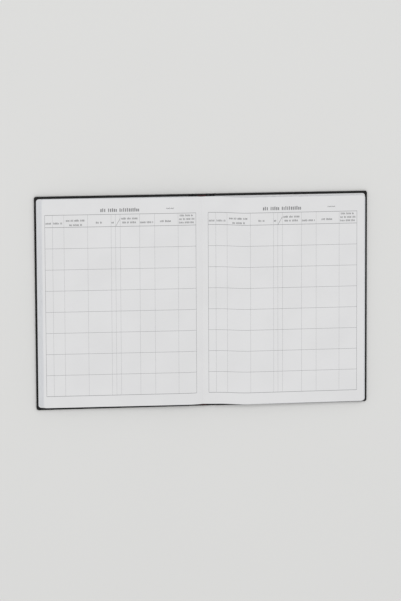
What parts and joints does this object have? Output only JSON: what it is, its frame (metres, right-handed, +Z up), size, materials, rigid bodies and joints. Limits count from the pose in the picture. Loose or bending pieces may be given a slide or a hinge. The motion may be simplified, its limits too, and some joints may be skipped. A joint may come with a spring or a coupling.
{
  "type": "record book",
  "caption": "Hardback sewn register lying open: cloth-hinged covers that close, stacked page sections, and a ruled leaf that turns.",
  "frame": {"origin": "on the table under the middle of the spine, at the bottom centre of the open book", "axes": "+X across the open book towards the back cover, +Y along the spine towards the head, +Z up from the table"},
  "size_m": [0.448, 0.2868, 0.0118],
  "materials": {
    "leatherette": "fine grained black leatherette, satin",
    "greyboard": "matte greyboard",
    "kraft": "matte kraft paper",
    "gauze": "open starched gauze",
    "thread": "waxed linen thread",
    "headband": "striped woven band",
    "paper": "matte white writing paper"
  },
  "bodies": {
    "spine": {"spine_board": "greyboard", "spine_cloth": "leatherette", "spine_liner": "kraft", "mull_gauze": "gauze", "sewing_thread": "thread", "headband": "headband", "tailband": "headband", "front_joint_cloth": "leatherette", "back_joint_cloth": "leatherette", "front_bound_margins": "paper", "back_bound_margins": "paper"},
    "front_cover": {"front_board": "greyboard", "front_cover_cloth": "leatherette", "front_infill": "greyboard", "front_mull_flange": "gauze", "front_pastedown": "paper", "front_flyleaf": "paper", "front_section_1": "paper", "front_section_2": "paper", "front_section_3": "paper", "front_section_4": "paper", "front_section_5": "paper", "front_section_6": "paper"},
    "back_cover": {"back_board": "greyboard", "back_cover_cloth": "leatherette", "back_infill": "greyboard", "back_mull_flange": "gauze", "back_pastedown": "paper", "back_flyleaf": "paper", "back_section_1": "paper", "back_section_2": "paper", "back_section_3": "paper", "back_section_4": "paper"},
    "leaf": {"turning_leaf": "paper"}
  },
  "joints": [
    {"name": "front_cover_hinge", "type": "hinge", "parent": "spine", "child": "front_cover", "pos_m": [-0.011, 0, 0.0002], "axis": [0, -1, 0], "range_deg": [-91.1, 0], "deforming": ["front_joint_cloth", "front_bound_margins"]},
    {"name": "back_cover_hinge", "type": "hinge", "parent": "spine", "child": "back_cover", "pos_m": [0.011, 0, 0.0002], "axis": [0, 1, 0], "range_deg": [-91.1, 0], "deforming": ["back_joint_cloth", "back_bound_margins"]},
    {"name": "leaf_turn", "type": "hinge", "parent": "back_cover", "child": "leaf", "pos_m": [0.017, 0, 0.0102], "axis": [0, -1, 0], "range_deg": [0, 178], "deforming": ["turning_leaf"]}
  ]
}
